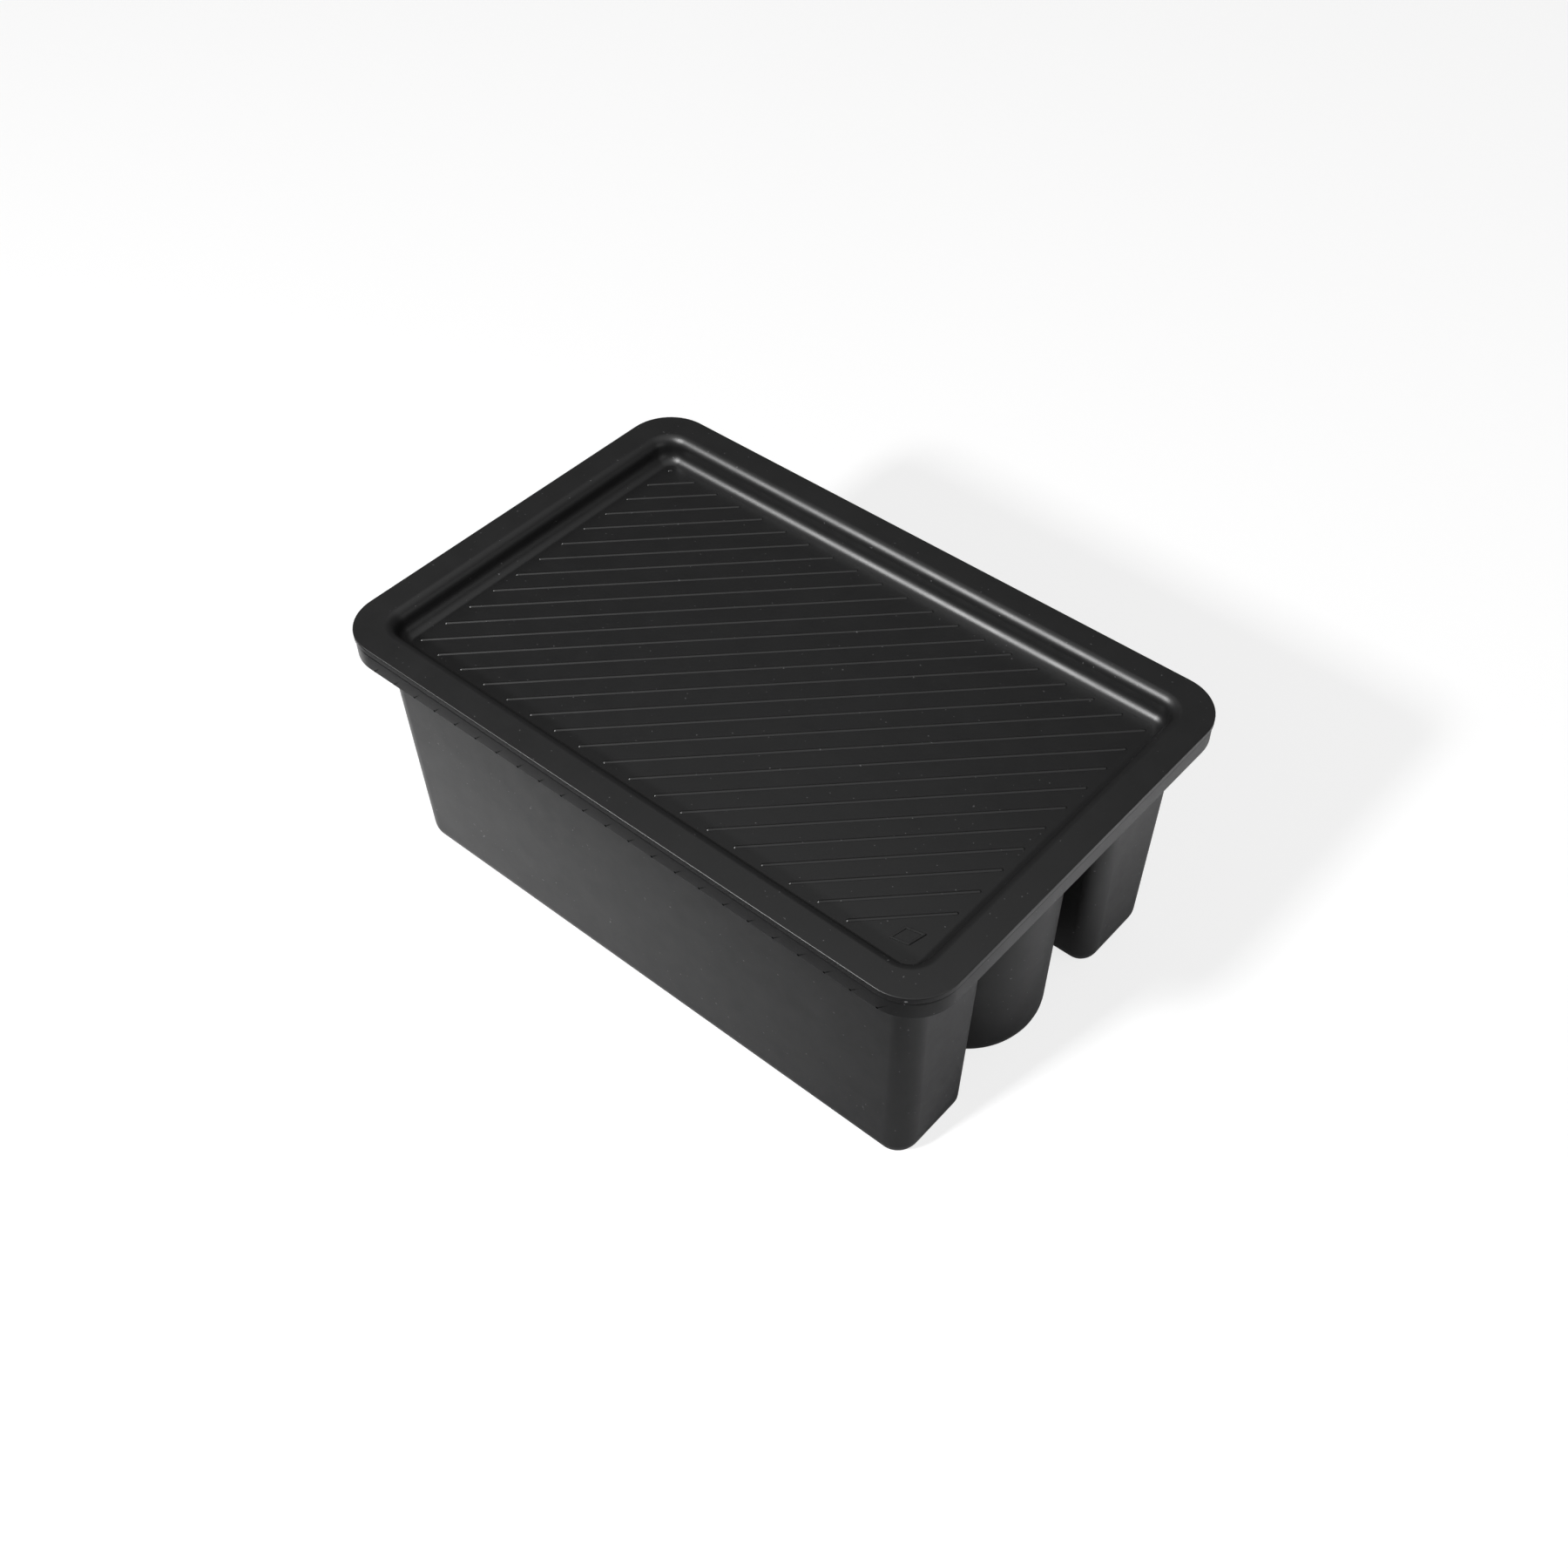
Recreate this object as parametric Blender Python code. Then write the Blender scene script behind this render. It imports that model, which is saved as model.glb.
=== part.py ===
"""Lidded compartment tub.

A ribbed tray lid rests on the flange of a deep moulded tub. The tub has a long trough along
its front, a rectangular bin along its back, and a round cup with a second bin between them.
+X runs along the long side, -Y is the front with the trough, +Z is up, and the origin is at
the centre of the base.
"""

import math

import bmesh
import bpy

MM = 0.001

# Overall
LENGTH = 350.0 * MM
WIDTH = 229.2 * MM
HEIGHT = 146.7 * MM

# Tray lid
LID_CORNER = 24.0 * MM
RIM_WIDTH = 13.0 * MM
RIM_THICKNESS = 3.0 * MM
LID_WALL = 2.1 * MM
LID_EDGE_FILLET = 0.5 * MM
RECESS_DEPTH = 12.5 * MM
RECESS_DRAFT = math.radians(5.0)
RECESS_TOP_FILLET = 5.5 * MM
RECESS_FLOOR_FILLET = 6.0 * MM
RECESS_TOP_CORNER = 14.5 * MM
RECESS_FLOOR_CORNER = 4.0 * MM

# Ribs on the lid's floor, at 45 degrees to its sides
RIB_STEP = 15.55 * MM
RIB_FIRST = -13
RIB_LAST = 15
RIB_WIDTH = 1.8 * MM
RIB_HEIGHT = 0.65 * MM
RIB_MARGIN = 2.5 * MM
RIB_SHOULDER_INSET = 0.2 * MM
RIB_SHOULDER_HEIGHT = 0.4 * MM
RIB_CREST_INSET = 0.6 * MM
RIB_ROOT = 0.8 * MM

# Raised rhombus in the recess corner at +X, -Y
EMBLEM_CENTRE = (139.0 * MM, -77.5 * MM)
EMBLEM_HALF_LENGTH = 8.0 * MM
EMBLEM_HALF_WIDTH = 5.0 * MM
EMBLEM_LINE = 1.0 * MM
EMBLEM_HEIGHT = 0.5 * MM

# Tub
SEAT_GAP = 0.3 * MM
TUB_WALL = 2.5 * MM
FLANGE_INSET = 0.5 * MM
FLANGE_THICKNESS = 2.5 * MM
FLANGE_CORNER = 23.5 * MM
FLANGE_EDGE_FILLET = 0.5 * MM
FLANGE_OVERHANG = 13.3 * MM
SKIRT_DROP = 13.2 * MM
MOUTH_FILLET = 3.0 * MM
MOUTH_WALL = 2.0 * MM
DECK_DROP = 16.0 * MM

# Wells, measured outside at the base
DRAFT = math.tan(math.radians(1.65))
BASE_HALF_LENGTH = 157.2 * MM
BASE_HALF_WIDTH = 96.9 * MM
TROUGH_WIDTH = 44.7 * MM
BACK_BIN_WIDTH = 49.6 * MM
CUP_RADIUS = 38.8 * MM
CUP_GAP = 13.4 * MM
WELL_FILLET = 11.5 * MM
OUTER_CORNER = 11.4 * MM
TROUGH_INNER_CORNER = 5.8 * MM
BACK_BIN_INNER_CORNER = 9.8 * MM
SMALLEST_CORNER = 1.0 * MM

# Gussets between the flange's skirt and the tub's wall
GUSSET_STEP = 13.63 * MM
GUSSET_FIRST_X = -147.5 * MM
GUSSETS_ALONG_X = 22
GUSSETS_ALONG_Y = 13
GUSSET_THICKNESS = 1.5 * MM
GUSSET_RISE = 0.6 * MM
GUSSET_ROOT = 0.5 * MM

# Facets
CORNER_STEPS = 7
FILLET_STEPS = 4
CUP_STEPS = 40
RIB_END_STEPS = 4

# Worked out from the above
FLANGE_TOP = HEIGHT - RIM_THICKNESS - SEAT_GAP
FLANGE_HALF_LENGTH = LENGTH / 2 - FLANGE_INSET
FLANGE_HALF_WIDTH = WIDTH / 2 - FLANGE_INSET
SKIRT_BOTTOM = HEIGHT - SKIRT_DROP
DECK_TOP = HEIGHT - DECK_DROP
DECK_BOTTOM = DECK_TOP - TUB_WALL
FLOOR_TOP = HEIGHT - RECESS_DEPTH
CUP_CENTRE_X = BASE_HALF_LENGTH - CUP_RADIUS


def clear_scene():
    for item in list(bpy.data.objects):
        bpy.data.objects.remove(item, do_unlink=True)


def make_plastic(name, grey, roughness):
    material = bpy.data.materials.new(name)
    material.use_nodes = True
    shader = material.node_tree.nodes["Principled BSDF"]
    shader.inputs["Base Color"].default_value = (grey, grey, grey * 1.02, 1.0)
    shader.inputs["Roughness"].default_value = roughness
    shader.inputs["Metallic"].default_value = 0.0
    return material


def box_loop(x_low, x_high, y_low, y_high, z, radii):
    """A rectangle with round corners, counter-clockwise from above.

    The radii are for the corners (+X, -Y), (+X, +Y), (-X, +Y) and (-X, -Y).
    """
    centres = (
        (x_high - radii[0], y_low + radii[0]),
        (x_high - radii[1], y_high - radii[1]),
        (x_low + radii[2], y_high - radii[2]),
        (x_low + radii[3], y_low + radii[3]),
    )
    points = []
    for corner, (centre_x, centre_y) in enumerate(centres):
        for step in range(CORNER_STEPS + 1):
            angle = math.radians(90.0) * (corner - 1 + step / CORNER_STEPS)
            x = centre_x + radii[corner] * math.cos(angle)
            y = centre_y + radii[corner] * math.sin(angle)
            points.append((x, y, z))
    return points


def centred_loop(half_length, half_width, z, radius):
    return box_loop(-half_length, half_length, -half_width, half_width, z, [radius] * 4)


def loft_into(mesh, loops, closed=False):
    """Skin the loops in order, and cap both ends unless the last joins the first."""
    rows = [[mesh.verts.new(point) for point in loop] for loop in loops]
    pairs = list(zip(rows, rows[1:]))
    if closed:
        pairs.append((rows[-1], rows[0]))
    for lower, upper in pairs:
        for index in range(len(lower)):
            after = (index + 1) % len(lower)
            mesh.faces.new((lower[index], lower[after], upper[after], upper[index]))
    if not closed:
        mesh.faces.new(list(reversed(rows[0])))
        mesh.faces.new(rows[-1])


def finish_object(name, mesh, material=None):
    bmesh.ops.recalc_face_normals(mesh, faces=mesh.faces[:])
    data = bpy.data.meshes.new(name)
    mesh.to_mesh(data)
    mesh.free()
    item = bpy.data.objects.new(name, data)
    bpy.context.collection.objects.link(item)
    if material is None:
        item.hide_render = True
        item.display_type = "WIRE"
    else:
        data.materials.append(material)
        data.shade_smooth()
        data.set_sharp_from_angle(angle=math.radians(35.0))
    return item


def add_boolean(item, tool, operation):
    modifier = item.modifiers.new(tool.name, "BOOLEAN")
    modifier.operation = operation
    modifier.solver = "EXACT"
    modifier.object = tool


# ---------------------------------------------------------------- tray lid

def recess_profile():
    """Points (inset from the lid's side, z, normal angle) from the rim down to the floor.

    The angle is that of the surface's normal, from +Z towards the recess.
    """
    turn = math.radians(90.0) - RECESS_DRAFT
    points = []
    for step in range(FILLET_STEPS + 1):
        angle = turn * step / FILLET_STEPS
        inset = RIM_WIDTH + RECESS_TOP_FILLET * math.sin(angle)
        z = HEIGHT - RECESS_TOP_FILLET * (1.0 - math.cos(angle))
        points.append((inset, z, angle))
    fillets = RECESS_TOP_FILLET + RECESS_FLOOR_FILLET
    wall_height = RECESS_DEPTH - fillets * (1.0 - math.cos(turn))
    wall_run = wall_height * math.tan(RECESS_DRAFT)
    floor_inset = RIM_WIDTH + fillets * math.sin(turn) + wall_run
    for step in range(FILLET_STEPS + 1):
        angle = turn * (1.0 - step / FILLET_STEPS)
        inset = floor_inset - RECESS_FLOOR_FILLET * math.sin(angle)
        z = FLOOR_TOP + RECESS_FLOOR_FILLET * (1.0 - math.cos(angle))
        points.append((inset, z, angle))
    return points


def lid_loop(inset, z, radius):
    return centred_loop(LENGTH / 2 - inset, WIDTH / 2 - inset, z, radius)


def lid_loops():
    profile = recess_profile()
    floor_inset = profile[-1][0]
    corner_slope = (RECESS_TOP_CORNER - RECESS_FLOOR_CORNER) / (floor_inset - RIM_WIDTH)

    inside = []
    underside = []
    for inset, z, angle in profile:
        corner = RECESS_TOP_CORNER - corner_slope * (inset - RIM_WIDTH)
        inside.append(lid_loop(inset, z, corner))
        blend = min(1.0, (HEIGHT - z) / RECESS_TOP_FILLET)
        thickness = RIM_THICKNESS + (LID_WALL - RIM_THICKNESS) * blend
        shift = thickness * math.sin(angle)
        underside.append(lid_loop(inset - shift, z - thickness * math.cos(angle), corner + shift))

    edge = []
    for step in range(3):
        angle = math.radians(90.0) * step / 2
        inset = LID_EDGE_FILLET * (1.0 - math.sin(angle))
        z = HEIGHT - LID_EDGE_FILLET * (1.0 - math.cos(angle))
        edge.append(lid_loop(inset, z, LID_CORNER - inset))
    edge.append(lid_loop(0.0, HEIGHT - RIM_THICKNESS, LID_CORNER))
    return list(reversed(inside)) + edge + underside


def rib_loops(low, high):
    """One rib from tip to tip along the direction (1, 1), with round ends and a round top."""
    root_two = math.sqrt(2.0)
    along = (1.0 / root_two, 1.0 / root_two)
    layers = (
        (0.0, -RIB_ROOT),
        (0.0, 0.0),
        (RIB_SHOULDER_INSET, RIB_SHOULDER_HEIGHT),
        (RIB_CREST_INSET, RIB_HEIGHT),
    )
    loops = []
    for inset, rise in layers:
        radius = RIB_WIDTH / 2 - inset
        loop = []
        for tip, sign in ((high, 1.0), (low, -1.0)):
            centre_x = tip[0] - sign * along[0] * RIB_WIDTH / 2
            centre_y = tip[1] - sign * along[1] * RIB_WIDTH / 2
            for step in range(RIB_END_STEPS + 1):
                angle = math.radians(180.0 * step / RIB_END_STEPS - 90.0 + 45.0)
                x = centre_x + sign * radius * math.cos(angle)
                y = centre_y + sign * radius * math.sin(angle)
                loop.append((x, y, FLOOR_TOP + rise))
        loops.append(loop)
    return loops


def make_ribs():
    floor_inset = recess_profile()[-1][0]
    half_length = LENGTH / 2 - floor_inset - RIB_MARGIN
    half_width = WIDTH / 2 - floor_inset - RIB_MARGIN
    mesh = bmesh.new()
    for number in range(RIB_FIRST, RIB_LAST + 1):
        offset = number * RIB_STEP
        x_low = max(-half_length, -half_width - offset)
        x_high = min(half_length, half_width - offset)
        loft_into(mesh, rib_loops((x_low, x_low + offset), (x_high, x_high + offset)))
    add_emblem(mesh)
    return finish_object("rib_tool", mesh)


def add_emblem(mesh):
    """A plain raised rhombus outline, its long diagonal along the ribs."""
    root_two = math.sqrt(2.0)
    side = math.hypot(EMBLEM_HALF_LENGTH, EMBLEM_HALF_WIDTH)

    def rhombus(shrink, z):
        long_half = (EMBLEM_HALF_LENGTH - shrink * side / EMBLEM_HALF_WIDTH) / root_two
        short_half = (EMBLEM_HALF_WIDTH - shrink * side / EMBLEM_HALF_LENGTH) / root_two
        offsets = (
            (long_half, long_half),
            (-short_half, short_half),
            (-long_half, -long_half),
            (short_half, -short_half),
        )
        return [(EMBLEM_CENTRE[0] + x, EMBLEM_CENTRE[1] + y, z) for x, y in offsets]

    bottom = FLOOR_TOP - RIB_ROOT
    top = FLOOR_TOP + EMBLEM_HEIGHT
    loops = [rhombus(0.0, bottom), rhombus(0.0, top), rhombus(EMBLEM_LINE, top), rhombus(EMBLEM_LINE, bottom)]
    loft_into(mesh, loops, closed=True)


def make_lid(material):
    mesh = bmesh.new()
    loft_into(mesh, lid_loops())
    lid = finish_object("tray_lid", mesh, material)
    add_boolean(lid, make_ribs(), "UNION")
    return lid


# ---------------------------------------------------------------- tub

def flange_loops():
    """The flange, its skirt, the mouth's wall and the deck, as one skin from below to above."""
    wall_half = FLANGE_HALF_LENGTH - FLANGE_OVERHANG
    mouth_half = wall_half - MOUTH_WALL
    skirt_half = FLANGE_HALF_LENGTH - FLANGE_THICKNESS
    flange_bottom = FLANGE_TOP - FLANGE_THICKNESS
    wall_corner = OUTER_CORNER
    skirt_corner = FLANGE_CORNER - FLANGE_THICKNESS
    mouth_corner = wall_corner - MOUTH_WALL
    edge = FLANGE_EDGE_FILLET
    points = [
        (wall_half, DECK_BOTTOM, wall_corner),
        (wall_half, flange_bottom, wall_corner),
        (skirt_half, flange_bottom, skirt_corner),
        (skirt_half, SKIRT_BOTTOM, skirt_corner),
        (FLANGE_HALF_LENGTH, SKIRT_BOTTOM, FLANGE_CORNER),
        (FLANGE_HALF_LENGTH, FLANGE_TOP - edge, FLANGE_CORNER),
        (FLANGE_HALF_LENGTH - edge, FLANGE_TOP, FLANGE_CORNER - edge),
    ]
    for step in range(FILLET_STEPS + 1):
        angle = math.radians(90.0) * step / FILLET_STEPS
        outset = MOUTH_FILLET * (1.0 - math.sin(angle))
        z = FLANGE_TOP - MOUTH_FILLET * (1.0 - math.cos(angle))
        points.append((mouth_half + outset, z, mouth_corner + outset))
    points.append((mouth_half, DECK_TOP, mouth_corner))
    across = FLANGE_HALF_LENGTH - FLANGE_HALF_WIDTH
    return [centred_loop(half, half - across, z, corner) for half, z, corner in points]


def trough_loop(z, inset):
    spread = DRAFT * z - inset
    outer = max(OUTER_CORNER - inset, SMALLEST_CORNER)
    inner = max(TROUGH_INNER_CORNER - inset, SMALLEST_CORNER)
    x = BASE_HALF_LENGTH + spread
    y_low = -BASE_HALF_WIDTH - spread
    y_high = -BASE_HALF_WIDTH + TROUGH_WIDTH + spread
    return box_loop(-x, x, y_low, y_high, z, (outer, inner, inner, outer))


def back_bin_loop(z, inset):
    spread = DRAFT * z - inset
    outer = max(OUTER_CORNER - inset, SMALLEST_CORNER)
    inner = max(BACK_BIN_INNER_CORNER - inset, SMALLEST_CORNER)
    x = BASE_HALF_LENGTH + spread
    y_low = BASE_HALF_WIDTH - BACK_BIN_WIDTH - spread
    y_high = BASE_HALF_WIDTH + spread
    return box_loop(-x, x, y_low, y_high, z, (inner, outer, outer, inner))


def middle_bin_loop(z, inset):
    spread = DRAFT * z - inset
    corner = max(OUTER_CORNER - inset, SMALLEST_CORNER)
    x_low = -BASE_HALF_LENGTH - spread
    x_high = CUP_CENTRE_X - CUP_RADIUS - CUP_GAP + spread
    y = CUP_RADIUS + spread
    return box_loop(x_low, x_high, -y, y, z, [corner] * 4)


def cup_loop(z, inset):
    radius = CUP_RADIUS + DRAFT * z - inset
    points = []
    for step in range(CUP_STEPS):
        angle = math.radians(360.0) * step / CUP_STEPS
        points.append((CUP_CENTRE_X + radius * math.cos(angle), radius * math.sin(angle), z))
    return points


WELLS = (trough_loop, back_bin_loop, middle_bin_loop, cup_loop)


def well_loops(well_loop, wall, top):
    """A well's skin from its floor to the height top, inset by wall, with a round bottom edge."""
    fillet = WELL_FILLET - wall
    loops = []
    for step in range(FILLET_STEPS + 1):
        angle = math.radians(90.0) * step / FILLET_STEPS
        z = wall + fillet * (1.0 - math.cos(angle))
        loops.append(well_loop(z, wall + fillet * (1.0 - math.sin(angle))))
    loops.append(well_loop(top, wall))
    return loops


def make_wells(name, wall, top):
    mesh = bmesh.new()
    for well_loop in WELLS:
        loft_into(mesh, well_loops(well_loop, wall, top))
    return finish_object(name, mesh)


def add_block(mesh, x_low, x_high, y_low, y_high, z_low, z_high):
    corners = ((x_low, y_low), (x_high, y_low), (x_high, y_high), (x_low, y_high))
    loft_into(mesh, [[(x, y, z) for x, y in corners] for z in (z_low, z_high)])


def make_gussets():
    inner = FLANGE_OVERHANG + GUSSET_ROOT
    outer = FLANGE_THICKNESS - GUSSET_ROOT
    z_low = SKIRT_BOTTOM + GUSSET_RISE
    z_high = FLANGE_TOP - FLANGE_THICKNESS + GUSSET_ROOT
    half = GUSSET_THICKNESS / 2
    mesh = bmesh.new()
    for number in range(GUSSETS_ALONG_X):
        x = GUSSET_FIRST_X + number * GUSSET_STEP
        near = FLANGE_HALF_WIDTH - inner
        far = FLANGE_HALF_WIDTH - outer
        add_block(mesh, x - half, x + half, -far, -near, z_low, z_high)
        add_block(mesh, x - half, x + half, near, far, z_low, z_high)
    for number in range(GUSSETS_ALONG_Y):
        y = (number - (GUSSETS_ALONG_Y - 1) / 2) * GUSSET_STEP
        near = FLANGE_HALF_LENGTH - inner
        far = FLANGE_HALF_LENGTH - outer
        add_block(mesh, -far, -near, y - half, y + half, z_low, z_high)
        add_block(mesh, near, far, y - half, y + half, z_low, z_high)
    return finish_object("gusset_tool", mesh)


def make_tub(material):
    mesh = bmesh.new()
    loft_into(mesh, flange_loops())
    tub = finish_object("compartment_tub", mesh, material)
    middle_of_deck = (DECK_TOP + DECK_BOTTOM) / 2
    above_deck = DECK_TOP + TUB_WALL
    add_boolean(tub, make_wells("well_outside_tool", 0.0, middle_of_deck), "UNION")
    add_boolean(tub, make_wells("well_inside_tool", TUB_WALL, above_deck), "DIFFERENCE")
    add_boolean(tub, make_gussets(), "UNION")
    return tub


def main():
    clear_scene()
    make_tub(make_plastic("tub_black_plastic", 0.020, 0.42))
    make_lid(make_plastic("lid_black_plastic", 0.019, 0.46))


main()
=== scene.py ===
"""Looks of the lidded compartment tub: finer mouldings in a grained black plastic, on a pale floor."""

import math

import bmesh
import bpy
from mathutils import Matrix, Vector


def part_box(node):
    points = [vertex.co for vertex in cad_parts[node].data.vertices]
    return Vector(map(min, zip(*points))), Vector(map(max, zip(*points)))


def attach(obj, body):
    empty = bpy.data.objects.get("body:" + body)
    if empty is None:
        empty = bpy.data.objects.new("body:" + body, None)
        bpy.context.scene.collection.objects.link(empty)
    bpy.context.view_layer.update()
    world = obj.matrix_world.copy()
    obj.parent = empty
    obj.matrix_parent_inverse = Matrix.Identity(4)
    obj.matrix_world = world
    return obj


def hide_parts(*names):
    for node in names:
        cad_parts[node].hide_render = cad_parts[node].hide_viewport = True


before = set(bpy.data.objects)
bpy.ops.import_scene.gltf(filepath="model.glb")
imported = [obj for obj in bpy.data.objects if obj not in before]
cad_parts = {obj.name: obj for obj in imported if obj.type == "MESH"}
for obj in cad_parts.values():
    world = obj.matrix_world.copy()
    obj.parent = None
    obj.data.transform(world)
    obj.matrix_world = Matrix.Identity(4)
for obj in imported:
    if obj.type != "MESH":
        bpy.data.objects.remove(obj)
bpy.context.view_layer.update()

MM = 0.001
TUB_LOW, TUB_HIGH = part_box("compartment_tub")
LID_LOW, LID_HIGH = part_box("tray_lid")

# Overall, from the frame
LENGTH = LID_HIGH.x - LID_LOW.x
WIDTH = LID_HIGH.y - LID_LOW.y
HEIGHT = LID_HIGH.z
FLANGE_TOP = TUB_HIGH.z
FLANGE_HALF_LENGTH = TUB_HIGH.x
FLANGE_HALF_WIDTH = TUB_HIGH.y

# Tray lid
LID_CORNER = 24.0 * MM
RIM_WIDTH = 13.0 * MM
RIM_THICKNESS = 3.0 * MM
LID_WALL = 2.1 * MM
LID_EDGE_FILLET = 0.5 * MM
UNDER_EDGE_FILLET = 0.3 * MM
RECESS_DEPTH = 12.5 * MM
RECESS_DRAFT = math.radians(5.0)
RECESS_TOP_FILLET = 5.5 * MM
RECESS_FLOOR_FILLET = 6.0 * MM
RECESS_TOP_CORNER = 14.5 * MM
RECESS_FLOOR_CORNER = 4.0 * MM
FLOOR_TOP = HEIGHT - RECESS_DEPTH

# Ribs and the raised rhombus on the lid's floor
RIB_STEP = 15.55 * MM
RIB_FIRST = -13
RIB_LAST = 15
RIB_WIDTH = 1.8 * MM
RIB_HEIGHT = 0.48 * MM
RIB_MARGIN = 2.5 * MM
RIB_ROOT = 0.3 * MM
RIB_SIDE_RUN = 0.04 * MM
RIB_SIDE_HEIGHT = 0.1 * MM
RIB_CREST_RADIUS = 0.02 * RIB_WIDTH
EMBLEM_CENTRE = Vector((139.0 * MM, -77.5 * MM, FLOOR_TOP))
EMBLEM_HALF_LENGTH = 8.0 * MM
EMBLEM_HALF_WIDTH = 5.0 * MM
EMBLEM_LINE = 1.0 * MM
EMBLEM_HEIGHT = 0.5 * MM
EMBLEM_SOFTNESS = 0.2 * EMBLEM_LINE
DIAGONAL = math.sqrt(0.5)

# Tub
TUB_WALL = 2.5 * MM
FLANGE_THICKNESS = 2.5 * MM
FLANGE_CORNER = 23.5 * MM
FLANGE_EDGE_FILLET = 1.5 * MM
SKIRT_EDGE_FILLET = 0.4 * MM
FLANGE_OVERHANG = 13.3 * MM
SKIRT_BOTTOM = HEIGHT - 13.2 * MM
MOUTH_FILLET = 3.0 * MM
MOUTH_WALL = 2.0 * MM
DECK_TOP = HEIGHT - 16.0 * MM
DECK_BOTTOM = DECK_TOP - TUB_WALL

# Wells, measured outside at the base
DRAFT = math.tan(math.radians(1.65))
BASE_HALF_LENGTH = 157.2 * MM
BASE_HALF_WIDTH = 96.9 * MM
TROUGH_WIDTH = 44.7 * MM
BACK_BIN_WIDTH = 49.6 * MM
CUP_RADIUS = 38.8 * MM
CUP_GAP = 13.4 * MM
CUP_CENTRE_X = BASE_HALF_LENGTH - CUP_RADIUS
WELL_FILLET = 11.5 * MM
OUTER_CORNER = 11.4 * MM
TROUGH_INNER_CORNER = 5.8 * MM
BACK_BIN_INNER_CORNER = 9.8 * MM
SMALLEST_CORNER = 1.0 * MM

# Gussets between the flange's skirt and the tub's wall
GUSSET_STEP = 13.63 * MM
GUSSET_FIRST_X = -147.5 * MM
GUSSETS_ALONG_X = 22
GUSSETS_ALONG_Y = 13
GUSSET_THICKNESS = 1.5 * MM
GUSSET_RISE = 0.6 * MM
GUSSET_ROOT = 0.5 * MM

# Sink marks on the skirt
SINK_RISE = 0.9 * MM
SINK_RADIUS = 0.6 * MM
TAIL_LENGTH = 5.0 * MM

# Plastic: base shade, roughness of each moulding, and how much glossier the recess floor is
PLASTIC_SHADE = 0.009
PLASTIC_IOR = 1.49
TUB_GLOSS = 0.38
LID_GLOSS = 0.36
FLOOR_SHINE = 0.06
GLOSS_DRIFT = 0.03
SPECK_GREY = 0.16

# Noise scales, per metre, and the grain's strength and depth
DRIFT_SCALE = 14.0
CLOUD_SCALE = 60.0
SPECK_SCALE = 700.0
GRAIN_SCALE = 2600.0
GRAIN_STRENGTH = 0.25
GRAIN_DEPTH = 0.06 * MM

# Stage
FLOOR_SIZE = 24.0
FLOOR_GREY = 0.45
FLOOR_GLOW = 0.78
REFLECTED_FLOOR_RISE = 0.1 * MM
BACKDROP_RADIUS = 11.9
BACKDROP_GLOW = 0.9
WORLD_GREY = 0.13

# Camera: about 0.87 m from the lid, at azimuth 40.3 and elevation 46.7 degrees
CAMERA_AZIMUTH = math.radians(40.28)
CAMERA_BACK = Vector((0.4434, -0.5233, 0.7277))
CAMERA_PLACE = Vector((0.42197, -0.47560, HEIGHT + 0.59439))
CAMERA_SENSOR = 36.0
CAMERA_LENS = 43.53
CAMERA_SHIFT_X = -0.0140

# Facets
CORNER_STEPS = 16
FILLET_STEPS = 9
CUP_STEPS = 96
EDGE_STEPS = 4
SKIRT_STEPS = 3
RIB_END_STEPS = 8
RIB_CROWN_STEPS = 8
SHARPEST_SMOOTH = math.radians(32.0)


# ---------------------------------------------------------------- meshes

def box_loop(x_low, x_high, y_low, y_high, z, radii):
    """A rectangle with round corners; radii at (+X, -Y), (+X, +Y), (-X, +Y), (-X, -Y)."""
    centres = (
        (x_high - radii[0], y_low + radii[0]),
        (x_high - radii[1], y_high - radii[1]),
        (x_low + radii[2], y_high - radii[2]),
        (x_low + radii[3], y_low + radii[3]),
    )
    points = []
    for corner, (centre_x, centre_y) in enumerate(centres):
        for step in range(CORNER_STEPS + 1):
            angle = math.radians(90.0) * (corner - 1 + step / CORNER_STEPS)
            x = centre_x + radii[corner] * math.cos(angle)
            y = centre_y + radii[corner] * math.sin(angle)
            points.append((x, y, z))
    return points


def centred_loop(half_length, half_width, z, radius):
    return box_loop(-half_length, half_length, -half_width, half_width, z, [radius] * 4)


def loft_into(mesh, loops, closed=False):
    """Skin the loops in order, and cap both ends unless the last joins the first."""
    rows = [[mesh.verts.new(point) for point in loop] for loop in loops]
    pairs = list(zip(rows, rows[1:]))
    if closed:
        pairs.append((rows[-1], rows[0]))
    for lower, upper in pairs:
        for index in range(len(lower)):
            after = (index + 1) % len(lower)
            mesh.faces.new((lower[index], lower[after], upper[after], upper[index]))
    if not closed:
        mesh.faces.new(list(reversed(rows[0])))
        mesh.faces.new(rows[-1])


def make_object(name, mesh):
    bmesh.ops.recalc_face_normals(mesh, faces=mesh.faces[:])
    data = bpy.data.meshes.new(name)
    mesh.to_mesh(data)
    mesh.free()
    item = bpy.data.objects.new(name, data)
    bpy.context.scene.collection.objects.link(item)
    return item


def apply_boolean(item, tool, operation):
    modifier = item.modifiers.new("cut", "BOOLEAN")
    modifier.operation = operation
    modifier.solver = "EXACT"
    modifier.object = tool
    graph = bpy.context.evaluated_depsgraph_get()
    result = bpy.data.meshes.new_from_object(item.evaluated_get(graph))
    item.modifiers.clear()
    item.data = result
    bpy.data.objects.remove(tool, do_unlink=True)


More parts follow.
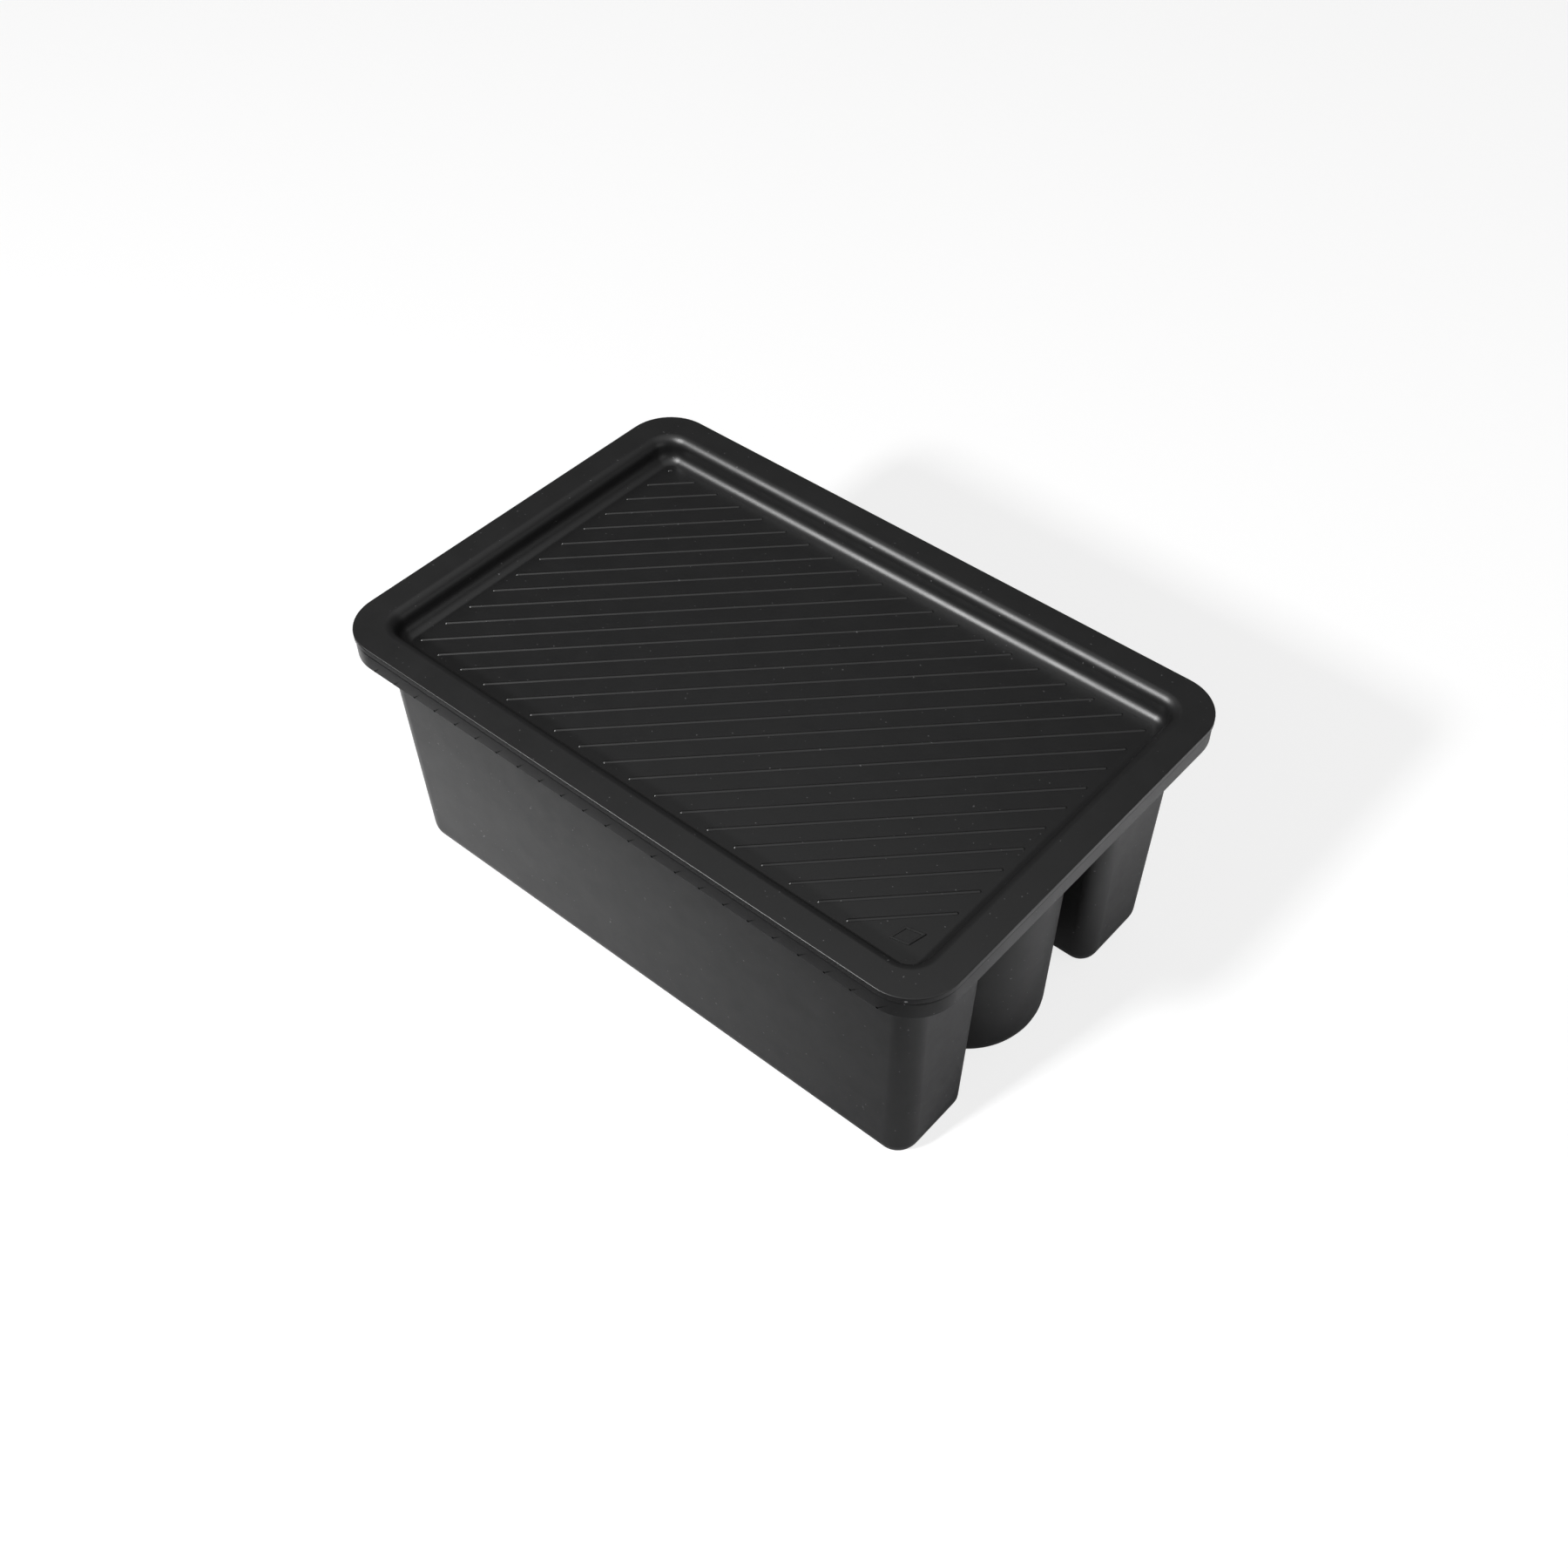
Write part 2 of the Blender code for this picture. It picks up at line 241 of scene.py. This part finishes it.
def finish_piece(item, material, body, nodes=()):
    """Smooth shading with flat faces kept flat, the material, and the body it rides on."""
    item.data.materials.clear()
    item.data.materials.append(material)
    item.data.shade_smooth()
    item.data.set_sharp_from_angle(angle=SHARPEST_SMOOTH)
    weighted = item.modifiers.new("flat_faces_stay_flat", "WEIGHTED_NORMAL")
    weighted.mode = "FACE_AREA"
    weighted.keep_sharp = True
    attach(item, body)
    if nodes:
        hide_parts(*nodes)
    return item


# ---------------------------------------------------------------- tray lid

def recess_profile():
    """Points (inset from the lid's side, z, normal angle) from the rim down to the floor."""
    turn = math.radians(90.0) - RECESS_DRAFT
    points = []
    for step in range(FILLET_STEPS + 1):
        angle = turn * step / FILLET_STEPS
        inset = RIM_WIDTH + RECESS_TOP_FILLET * math.sin(angle)
        points.append((inset, HEIGHT - RECESS_TOP_FILLET * (1.0 - math.cos(angle)), angle))
    fillets = RECESS_TOP_FILLET + RECESS_FLOOR_FILLET
    wall_height = RECESS_DEPTH - fillets * (1.0 - math.cos(turn))
    floor_inset = RIM_WIDTH + fillets * math.sin(turn) + wall_height * math.tan(RECESS_DRAFT)
    for step in range(FILLET_STEPS + 1):
        angle = turn * (1.0 - step / FILLET_STEPS)
        inset = floor_inset - RECESS_FLOOR_FILLET * math.sin(angle)
        points.append((inset, FLOOR_TOP + RECESS_FLOOR_FILLET * (1.0 - math.cos(angle)), angle))
    return points


def lid_loop(inset, z, radius):
    return centred_loop(LENGTH / 2 - inset, WIDTH / 2 - inset, z, radius)


def edge_loops(fillet, top, downwards):
    """Quarter-round loops at the lid's outer edge, starting on the top or ending on the underside."""
    loops = []
    for step in range(EDGE_STEPS + 1):
        angle = math.radians(90.0) * step / EDGE_STEPS
        if not downwards:
            angle = math.radians(90.0) - angle
        inset = fillet * (1.0 - math.sin(angle))
        drop = fillet * (1.0 - math.cos(angle))
        loops.append(lid_loop(inset, top - drop if downwards else top + drop, LID_CORNER - inset))
    return loops


def lid_loops():
    profile = recess_profile()
    floor_inset = profile[-1][0]
    corner_slope = (RECESS_TOP_CORNER - RECESS_FLOOR_CORNER) / (floor_inset - RIM_WIDTH)
    inside = []
    underside = []
    for inset, z, angle in profile:
        corner = RECESS_TOP_CORNER - corner_slope * (inset - RIM_WIDTH)
        inside.append(lid_loop(inset, z, corner))
        blend = min(1.0, (HEIGHT - z) / RECESS_TOP_FILLET)
        thickness = RIM_THICKNESS + (LID_WALL - RIM_THICKNESS) * blend
        shift = thickness * math.sin(angle)
        underside.append(lid_loop(inset - shift, z - thickness * math.cos(angle), corner + shift))
    edge = edge_loops(LID_EDGE_FILLET, HEIGHT, True)
    edge += edge_loops(UNDER_EDGE_FILLET, HEIGHT - RIM_THICKNESS, False)
    return list(reversed(inside)) + edge + underside


def rib_spans():
    """Both tips of each rib, clipped to the recess floor."""
    floor_inset = recess_profile()[-1][0]
    half_length = LENGTH / 2 - floor_inset - RIB_MARGIN
    half_width = WIDTH / 2 - floor_inset - RIB_MARGIN
    spans = []
    for number in range(RIB_FIRST, RIB_LAST + 1):
        offset = number * RIB_STEP
        x_low = max(-half_length, -half_width - offset)
        x_high = min(half_length, half_width - offset)
        spans.append(((x_low, x_low + offset), (x_high, x_high + offset)))
    return spans


def rib_loops(low, high):
    """One rib from tip to tip along (1, 1), with round ends, a round top and a soft root."""
    crown_half = RIB_WIDTH / 2 - RIB_SIDE_RUN
    layers = [(0.0, -RIB_ROOT), (0.0, 0.0)]
    for step in range(RIB_CROWN_STEPS + 1):
        angle = math.radians(90.0) * step / RIB_CROWN_STEPS
        rise = RIB_SIDE_HEIGHT + (RIB_HEIGHT - RIB_SIDE_HEIGHT) * math.sin(angle)
        layers.append((RIB_SIDE_RUN + crown_half * step / RIB_CROWN_STEPS, rise))
    loops = []
    for inset, rise in layers:
        radius = max(RIB_WIDTH / 2 - inset, RIB_CREST_RADIUS)
        loop = []
        for tip, sign in ((high, 1.0), (low, -1.0)):
            centre_x = tip[0] - sign * DIAGONAL * RIB_WIDTH / 2
            centre_y = tip[1] - sign * DIAGONAL * RIB_WIDTH / 2
            for step in range(RIB_END_STEPS + 1):
                angle = math.radians(180.0 * step / RIB_END_STEPS - 45.0)
                x = centre_x + sign * radius * math.cos(angle)
                y = centre_y + sign * radius * math.sin(angle)
                loop.append((x, y, FLOOR_TOP + rise))
        loops.append(loop)
    return loops


def emblem_loops():
    """A plain raised rhombus outline with softened edges, its long diagonal along the ribs."""
    side = math.hypot(EMBLEM_HALF_LENGTH, EMBLEM_HALF_WIDTH)

    def rhombus(shrink, rise):
        long_half = (EMBLEM_HALF_LENGTH - shrink * side / EMBLEM_HALF_WIDTH) * DIAGONAL
        short_half = (EMBLEM_HALF_WIDTH - shrink * side / EMBLEM_HALF_LENGTH) * DIAGONAL
        offsets = (
            (long_half, long_half),
            (-short_half, short_half),
            (-long_half, -long_half),
            (short_half, -short_half),
        )
        return [EMBLEM_CENTRE + Vector((x, y, rise)) for x, y in offsets]

    return [
        rhombus(0.0, -RIB_ROOT),
        rhombus(0.0, EMBLEM_HEIGHT - EMBLEM_SOFTNESS),
        rhombus(EMBLEM_SOFTNESS, EMBLEM_HEIGHT),
        rhombus(EMBLEM_LINE - EMBLEM_SOFTNESS, EMBLEM_HEIGHT),
        rhombus(EMBLEM_LINE, EMBLEM_HEIGHT - EMBLEM_SOFTNESS),
        rhombus(EMBLEM_LINE, -RIB_ROOT),
    ]


def make_lid(material):
    shell = bmesh.new()
    loft_into(shell, lid_loops())
    finish_piece(make_object("lid_shell", shell), material, "lid", ["tray_lid"])
    ribs = bmesh.new()
    for low, high in rib_spans():
        loft_into(ribs, rib_loops(low, high))
    finish_piece(make_object("lid_ribs", ribs), material, "lid")
    emblem = bmesh.new()
    loft_into(emblem, emblem_loops(), closed=True)
    finish_piece(make_object("lid_rhombus", emblem), material, "lid")


# ---------------------------------------------------------------- tub

def flange_loops():
    """The flange, its skirt, the mouth's wall and the deck, as one skin from below to above."""
    wall_half = FLANGE_HALF_LENGTH - FLANGE_OVERHANG
    mouth_half = wall_half - MOUTH_WALL
    skirt_half = FLANGE_HALF_LENGTH - FLANGE_THICKNESS
    flange_bottom = FLANGE_TOP - FLANGE_THICKNESS
    skirt_corner = FLANGE_CORNER - FLANGE_THICKNESS
    mouth_corner = OUTER_CORNER - MOUTH_WALL
    soft = SKIRT_EDGE_FILLET
    edge = FLANGE_EDGE_FILLET
    points = [
        (wall_half, DECK_BOTTOM, OUTER_CORNER),
        (wall_half, flange_bottom, OUTER_CORNER),
        (skirt_half, flange_bottom, skirt_corner),
        (skirt_half, SKIRT_BOTTOM + soft, skirt_corner),
        (skirt_half + soft, SKIRT_BOTTOM, skirt_corner + soft),
    ]
    for step in range(SKIRT_STEPS + 1):
        angle = math.radians(90.0) * step / SKIRT_STEPS
        half = FLANGE_HALF_LENGTH - soft * (1.0 - math.sin(angle))
        z = SKIRT_BOTTOM + soft * (1.0 - math.cos(angle))
        points.append((half, z, FLANGE_CORNER + half - FLANGE_HALF_LENGTH))
    for step in range(SKIRT_STEPS + 1):
        angle = math.radians(90.0) * (1.0 - step / SKIRT_STEPS)
        half = FLANGE_HALF_LENGTH - edge * (1.0 - math.sin(angle))
        z = FLANGE_TOP - edge * (1.0 - math.cos(angle))
        points.append((half, z, FLANGE_CORNER + half - FLANGE_HALF_LENGTH))
    for step in range(FILLET_STEPS + 1):
        angle = math.radians(90.0) * step / FILLET_STEPS
        outset = MOUTH_FILLET * (1.0 - math.sin(angle))
        z = FLANGE_TOP - MOUTH_FILLET * (1.0 - math.cos(angle))
        points.append((mouth_half + outset, z, mouth_corner + outset))
    points.append((mouth_half, DECK_TOP, mouth_corner))
    across = FLANGE_HALF_LENGTH - FLANGE_HALF_WIDTH
    return [centred_loop(half, half - across, z, corner) for half, z, corner in points]


def trough_loop(z, inset):
    spread = DRAFT * z - inset
    outer = max(OUTER_CORNER - inset, SMALLEST_CORNER)
    inner = max(TROUGH_INNER_CORNER - inset, SMALLEST_CORNER)
    x = BASE_HALF_LENGTH + spread
    y_low = -BASE_HALF_WIDTH - spread
    y_high = -BASE_HALF_WIDTH + TROUGH_WIDTH + spread
    return box_loop(-x, x, y_low, y_high, z, (outer, inner, inner, outer))


def back_bin_loop(z, inset):
    spread = DRAFT * z - inset
    outer = max(OUTER_CORNER - inset, SMALLEST_CORNER)
    inner = max(BACK_BIN_INNER_CORNER - inset, SMALLEST_CORNER)
    x = BASE_HALF_LENGTH + spread
    y_low = BASE_HALF_WIDTH - BACK_BIN_WIDTH - spread
    y_high = BASE_HALF_WIDTH + spread
    return box_loop(-x, x, y_low, y_high, z, (inner, outer, outer, inner))


def middle_bin_loop(z, inset):
    spread = DRAFT * z - inset
    corner = max(OUTER_CORNER - inset, SMALLEST_CORNER)
    x_low = -BASE_HALF_LENGTH - spread
    x_high = CUP_CENTRE_X - CUP_RADIUS - CUP_GAP + spread
    y = CUP_RADIUS + spread
    return box_loop(x_low, x_high, -y, y, z, [corner] * 4)


def cup_loop(z, inset):
    radius = CUP_RADIUS + DRAFT * z - inset
    points = []
    for step in range(CUP_STEPS):
        angle = math.radians(360.0) * step / CUP_STEPS
        points.append((CUP_CENTRE_X + radius * math.cos(angle), radius * math.sin(angle), z))
    return points


WELLS = (trough_loop, back_bin_loop, middle_bin_loop, cup_loop)


def make_wells(name, wall, top):
    """All wells from their floors to the height top, inset by wall, with round bottom edges."""
    fillet = WELL_FILLET - wall
    mesh = bmesh.new()
    for well_loop in WELLS:
        loops = []
        for step in range(FILLET_STEPS + 1):
            angle = math.radians(90.0) * step / FILLET_STEPS
            z = wall + fillet * (1.0 - math.cos(angle))
            loops.append(well_loop(z, wall + fillet * (1.0 - math.sin(angle))))
        loops.append(well_loop(top, wall))
        loft_into(mesh, loops)
    return make_object(name, mesh)


def add_block(mesh, x_low, x_high, y_low, y_high, z_low, z_high):
    corners = ((x_low, y_low), (x_high, y_low), (x_high, y_high), (x_low, y_high))
    loft_into(mesh, [[(x, y, z) for x, y in corners] for z in (z_low, z_high)])


def make_gussets():
    inner = FLANGE_OVERHANG + GUSSET_ROOT
    outer = FLANGE_THICKNESS - GUSSET_ROOT
    z_low = SKIRT_BOTTOM + GUSSET_RISE
    z_high = FLANGE_TOP - FLANGE_THICKNESS + GUSSET_ROOT
    half = GUSSET_THICKNESS / 2
    mesh = bmesh.new()
    for number in range(GUSSETS_ALONG_X):
        x = GUSSET_FIRST_X + number * GUSSET_STEP
        near = FLANGE_HALF_WIDTH - inner
        far = FLANGE_HALF_WIDTH - outer
        add_block(mesh, x - half, x + half, -far, -near, z_low, z_high)
        add_block(mesh, x - half, x + half, near, far, z_low, z_high)
    for number in range(GUSSETS_ALONG_Y):
        y = (number - (GUSSETS_ALONG_Y - 1) / 2) * GUSSET_STEP
        near = FLANGE_HALF_LENGTH - inner
        far = FLANGE_HALF_LENGTH - outer
        add_block(mesh, -far, -near, y - half, y + half, z_low, z_high)
        add_block(mesh, near, far, y - half, y + half, z_low, z_high)
    return make_object("gusset_tool", mesh)


def make_tub(material):
    mesh = bmesh.new()
    loft_into(mesh, flange_loops())
    shell = make_object("tub_shell", mesh)
    middle_of_deck = (DECK_TOP + DECK_BOTTOM) / 2
    apply_boolean(shell, make_wells("well_outside_tool", 0.0, middle_of_deck), "UNION")
    apply_boolean(shell, make_wells("well_inside_tool", TUB_WALL, DECK_TOP + TUB_WALL), "DIFFERENCE")
    apply_boolean(shell, make_gussets(), "UNION")
    finish_piece(shell, material, "tub", ["compartment_tub"])


# ---------------------------------------------------------------- materials

class Nodes:
    """Short ways to add and link shader nodes."""

    def __init__(self, name):
        self.material = bpy.data.materials.new(name)
        self.material.use_nodes = True
        self.tree = self.material.node_tree
        self.shader = self.tree.nodes["Principled BSDF"]

    def add(self, kind, inputs=(), **settings):
        node = self.tree.nodes.new(kind)
        for key, value in settings.items():
            setattr(node, key, value)
        for socket, value in dict(inputs).items():
            if isinstance(value, bpy.types.NodeSocket):
                self.tree.links.new(value, node.inputs[socket])
            else:
                node.inputs[socket].default_value = value
        return node

    def noise(self, vector, scale, detail=2.0, roughness=0.5):
        inputs = {"Vector": vector, "Scale": scale, "Detail": detail, "Roughness": roughness}
        return self.add("ShaderNodeTexNoise", inputs).outputs["Fac"]

    def span(self, value, low, high, to_low, to_high):
        inputs = {"Value": value, "From Min": low, "From Max": high, "To Min": to_low, "To Max": to_high}
        return self.add("ShaderNodeMapRange", inputs).outputs["Result"]

    def math(self, operation, first, second=0.0):
        return self.add("ShaderNodeMath", {0: first, 1: second}, operation=operation).outputs[0]

    def mix(self, factor, first, second):
        node = self.add("ShaderNodeMix", data_type="RGBA")
        for socket, value in ((0, factor), (6, first), (7, second)):
            if isinstance(value, bpy.types.NodeSocket):
                self.tree.links.new(value, node.inputs[socket])
            else:
                node.inputs[socket].default_value = value
        return node.outputs[2]


def grey(value):
    return (value, value, value * 1.02, 1.0)


def skirt_marks(nodes, place):
    """Where each gusset meets the front and back skirt: a small sink mark, and its faint tail; the dent
    isn't modelled, its shade is painted as a darker spot, and the tail is a faint darker streak.
    """
    axes = nodes.add("ShaderNodeSeparateXYZ", {0: place})
    along = nodes.math("DIVIDE", nodes.math("SUBTRACT", axes.outputs["X"], GUSSET_FIRST_X), GUSSET_STEP)
    along = nodes.math("SUBTRACT", nodes.math("FRACT", nodes.math("ADD", along, 0.5)), 0.5)
    along = nodes.math("MULTIPLY", along, GUSSET_STEP)
    above = nodes.math("SUBTRACT", axes.outputs["Z"], SKIRT_BOTTOM + SINK_RISE)
    squares = nodes.math("ADD", nodes.math("POWER", along, 2.0), nodes.math("POWER", above, 2.0))
    sink = nodes.span(nodes.math("SQRT", squares), 0.7 * SINK_RADIUS, 1.3 * SINK_RADIUS, 1.0, 0.0)

    aside = nodes.math("ABSOLUTE", nodes.math("SUBTRACT", along, above))
    tail = nodes.span(aside, 0.25 * MM, 0.5 * MM, 1.0, 0.0)
    tail = nodes.math("MULTIPLY", tail, nodes.span(along, 0.0, 0.5 * MM, 0.0, 1.0))
    tail = nodes.math("MULTIPLY", tail, nodes.span(along, 0.4 * TAIL_LENGTH, TAIL_LENGTH, 1.0, 0.0))

    outside = nodes.math("ABSOLUTE", axes.outputs["Y"])
    on_skirt = nodes.math("GREATER_THAN", outside, FLANGE_HALF_WIDTH - 1.0 * MM)
    sink = nodes.math("MULTIPLY", sink, on_skirt)
    tail = nodes.math("MULTIPLY", tail, on_skirt)
    return sink, tail


def make_plastic(name, gloss, marked=False, polished=False):
    """Moulded black plastic: fine grain, slow drifts in gloss, dust specks and worn edges.

    marked adds the sink marks on the skirt, painted as darker, duller spots; polished makes the recess floor
    a little glossier.
    """
    nodes = Nodes(name)
    place = nodes.add("ShaderNodeTexCoord").outputs["Object"]
    geometry = nodes.add("ShaderNodeNewGeometry")

    drift = nodes.noise(place, DRIFT_SCALE, 3.0)
    fine = nodes.noise(place, GRAIN_SCALE, 2.0, 0.6)
    cloud = nodes.noise(place, CLOUD_SCALE, 4.0, 0.65)
    specks = nodes.span(nodes.noise(place, SPECK_SCALE, 0.0), 0.835, 0.86, 0.0, 1.0)
    wear = nodes.span(geometry.outputs["Pointiness"], 0.53, 0.62, 0.0, 1.0)
    wear = nodes.math("MULTIPLY", wear, nodes.span(cloud, 0.35, 0.7, 0.3, 1.0))

    colour = nodes.mix(drift, grey(PLASTIC_SHADE * 0.86), grey(PLASTIC_SHADE * 1.16))
    colour = nodes.mix(nodes.math("MULTIPLY", fine, 0.35), colour, grey(PLASTIC_SHADE * 1.9))
    colour = nodes.mix(nodes.math("MULTIPLY", wear, 0.35), colour, grey(PLASTIC_SHADE * 2.6))
    colour = nodes.mix(nodes.math("MULTIPLY", specks, 0.7), colour, grey(SPECK_GREY))

    roughness = nodes.span(cloud, 0.3, 0.7, gloss - GLOSS_DRIFT, gloss + GLOSS_DRIFT)
    roughness = nodes.math("ADD", roughness, nodes.math("MULTIPLY", fine, 0.05))
    roughness = nodes.math("SUBTRACT", roughness, nodes.math("MULTIPLY", wear, 0.06))
    if polished:
        height = nodes.add("ShaderNodeSeparateXYZ", {0: place}).outputs["Z"]
        shine = nodes.span(height, FLOOR_TOP + RIB_HEIGHT, FLOOR_TOP + 4.0 * RIB_HEIGHT, FLOOR_SHINE, 0.0)
        roughness = nodes.math("SUBTRACT", roughness, shine)
    if marked:
        # Painted shade: the sink marks and their tails are darkened, and made rougher and less reflective.
        sink, tail = skirt_marks(nodes, place)
        mark = nodes.math("MAXIMUM", sink, nodes.math("MULTIPLY", tail, 0.65))
        colour = nodes.mix(mark, colour, grey(0.2 * PLASTIC_SHADE))
        roughness = nodes.math("MAXIMUM", roughness, mark)
        level = nodes.span(mark, 0.0, 1.0, 0.5, 0.0)
        nodes.tree.links.new(level, nodes.shader.inputs["Specular IOR Level"])
    nodes.tree.links.new(colour, nodes.shader.inputs["Base Color"])
    nodes.tree.links.new(roughness, nodes.shader.inputs["Roughness"])

    bump = nodes.add("ShaderNodeBump", {"Height": fine, "Strength": GRAIN_STRENGTH, "Distance": GRAIN_DEPTH})
    nodes.tree.links.new(bump.outputs["Normal"], nodes.shader.inputs["Normal"])
    nodes.shader.inputs["IOR"].default_value = PLASTIC_IOR
    return nodes.material


# ---------------------------------------------------------------- stage

def make_matte(name, glow):
    """A matte stage material that gives off white light of the given strength."""
    nodes = Nodes(name)
    nodes.shader.inputs["Roughness"].default_value = 0.9
    nodes.shader.inputs["Specular IOR Level"].default_value = 0.0
    nodes.shader.inputs["Emission Color"].default_value = (1.0, 1.0, 1.0, 1.0)
    nodes.shader.inputs["Emission Strength"].default_value = glow
    return nodes


def make_stage_plane(name, material):
    bpy.ops.mesh.primitive_plane_add(size=FLOOR_SIZE, location=(0.0, 0.0, 0.0))
    plane = bpy.context.object
    plane.name = name
    plane.data.materials.append(material)
    plane.visible_shadow = False
    return plane


def make_floor():
    """A white floor for the eye, and a darker, uneven one that only the plastic reflects, its glow and grey
    painted light: brighter to the left and towards the back right, and dark in front of y = -0.2 m.
    """
    nodes = make_matte("pale_floor", FLOOR_GLOW)
    nodes.shader.inputs["Base Color"].default_value = (FLOOR_GREY, FLOOR_GREY, FLOOR_GREY, 1.0)
    floor = make_stage_plane("floor", nodes.material)
    floor.visible_glossy = False

    nodes = make_matte("reflected_floor", 0.0)
    place = nodes.add("ShaderNodeTexCoord").outputs["Object"]
    axes = nodes.add("ShaderNodeSeparateXYZ", {0: place})
    # Painted light: the glow fades from left to right, with a weaker pool towards the back right.
    left = nodes.span(axes.outputs["X"], -0.34, 0.15, 1.06, 0.0)
    right = nodes.span(axes.outputs["X"], 0.14, 0.24, 0.0, 1.0)
    right = nodes.math("MULTIPLY", right, nodes.span(axes.outputs["Y"], -0.03, 0.12, 0.14, 0.50))
    right = nodes.math("MULTIPLY", right, nodes.span(axes.outputs["X"], 0.28, 0.45, 1.0, 0.6))
    # Dark and without glow in front of y = -0.2 m.
    near = nodes.span(axes.outputs["Y"], -0.20, -0.15, 0.0, 1.0)
    glow = nodes.math("MULTIPLY", nodes.math("ADD", left, right), near)
    # Painted light in the grey: paler towards the back right.
    right_side_painted_light = nodes.mix(nodes.span(axes.outputs["Y"], -0.10, 0.06, 0.0, 1.0), grey(0.40), grey(0.85))
    floor_grey_and_painted_light = nodes.mix(nodes.span(axes.outputs["X"], 0.08, 0.18, 0.0, 1.0), grey(0.45), right_side_painted_light)
    nodes.tree.links.new(nodes.mix(near, grey(0.08), floor_grey_and_painted_light), nodes.shader.inputs["Base Color"])
    nodes.tree.links.new(glow, nodes.shader.inputs["Emission Strength"])
    reflected = make_stage_plane("reflected_floor", nodes.material)
    reflected.location.z = REFLECTED_FLOOR_RISE
    reflected.visible_camera = False
    reflected.visible_diffuse = False


def make_backdrop():
    """A pale dome far behind everything, seen only by the camera."""
    nodes = make_matte("pale_backdrop", BACKDROP_GLOW)
    nodes.shader.inputs["Base Color"].default_value = (0.0, 0.0, 0.0, 1.0)
    bpy.ops.mesh.primitive_uv_sphere_add(segments=64, ring_count=32, radius=BACKDROP_RADIUS)
    dome = bpy.context.object
    dome.name = "backdrop"
    dome.data.materials.append(nodes.material)
    dome.visible_shadow = False
    dome.visible_diffuse = False
    dome.visible_glossy = False


def add_panel(name, direction, distance, width, height, radiance, diffuse=True, glossy=True):
    """A soft panel of even brightness that faces the object from the given direction."""
    light = bpy.data.lights.new(name, "AREA")
    light.shape = "RECTANGLE"
    light.size = width
    light.size_y = height
    light.energy = radiance * math.pi * width * height
    panel = bpy.data.objects.new(name, light)
    way = Vector(direction).normalized()
    panel.location = Vector((0.0, 0.0, HEIGHT)) + way * distance
    panel.rotation_euler = way.to_track_quat("Z", "Y").to_euler()
    panel.visible_camera = False
    panel.visible_diffuse = diffuse
    panel.visible_glossy = glossy
    bpy.context.scene.collection.objects.link(panel)


def make_lights():
    add_panel("key", (-0.08, -0.81, 0.58), 2.0, 0.20, 0.20, 240.0, glossy=False)
    add_panel("softbox", (-0.37, -0.53, 0.76), 2.2, 1.05, 1.05, 22.0, diffuse=False)
    add_panel("top_panel", (0.0, 0.0, 1.0), 2.0, 2.6, 2.6, 0.75, diffuse=False)
    add_panel("side_panel", (0.90, 0.10, 0.42), 2.0, 1.6, 1.2, 1.0)
    world = bpy.data.worlds.new("studio")
    world.use_nodes = True
    colour = world.node_tree.nodes["Background"].inputs["Color"]
    colour.default_value = (WORLD_GREY, WORLD_GREY, WORLD_GREY, 1.0)
    bpy.context.scene.world = world


def make_camera():
    right = Vector((math.cos(CAMERA_AZIMUTH), math.sin(CAMERA_AZIMUTH), 0.0))
    up = CAMERA_BACK.cross(right)
    data = bpy.data.cameras.new("camera")
    data.sensor_width = CAMERA_SENSOR
    data.lens = CAMERA_LENS
    data.shift_x = CAMERA_SHIFT_X
    camera = bpy.data.objects.new("camera", data)
    camera.matrix_world = Matrix.Translation(CAMERA_PLACE) @ Matrix((
        (right.x, up.x, CAMERA_BACK.x, 0.0),
        (right.y, up.y, CAMERA_BACK.y, 0.0),
        (right.z, up.z, CAMERA_BACK.z, 0.0),
        (0.0, 0.0, 0.0, 1.0),
    ))
    bpy.context.scene.collection.objects.link(camera)
    bpy.context.scene.camera = camera


make_tub(make_plastic("tub_moulded_plastic", TUB_GLOSS, marked=True))
make_lid(make_plastic("lid_moulded_plastic", LID_GLOSS, polished=True))
make_floor()
make_backdrop()
make_lights()
make_camera()
bpy.context.scene.view_settings.view_transform = "Standard"
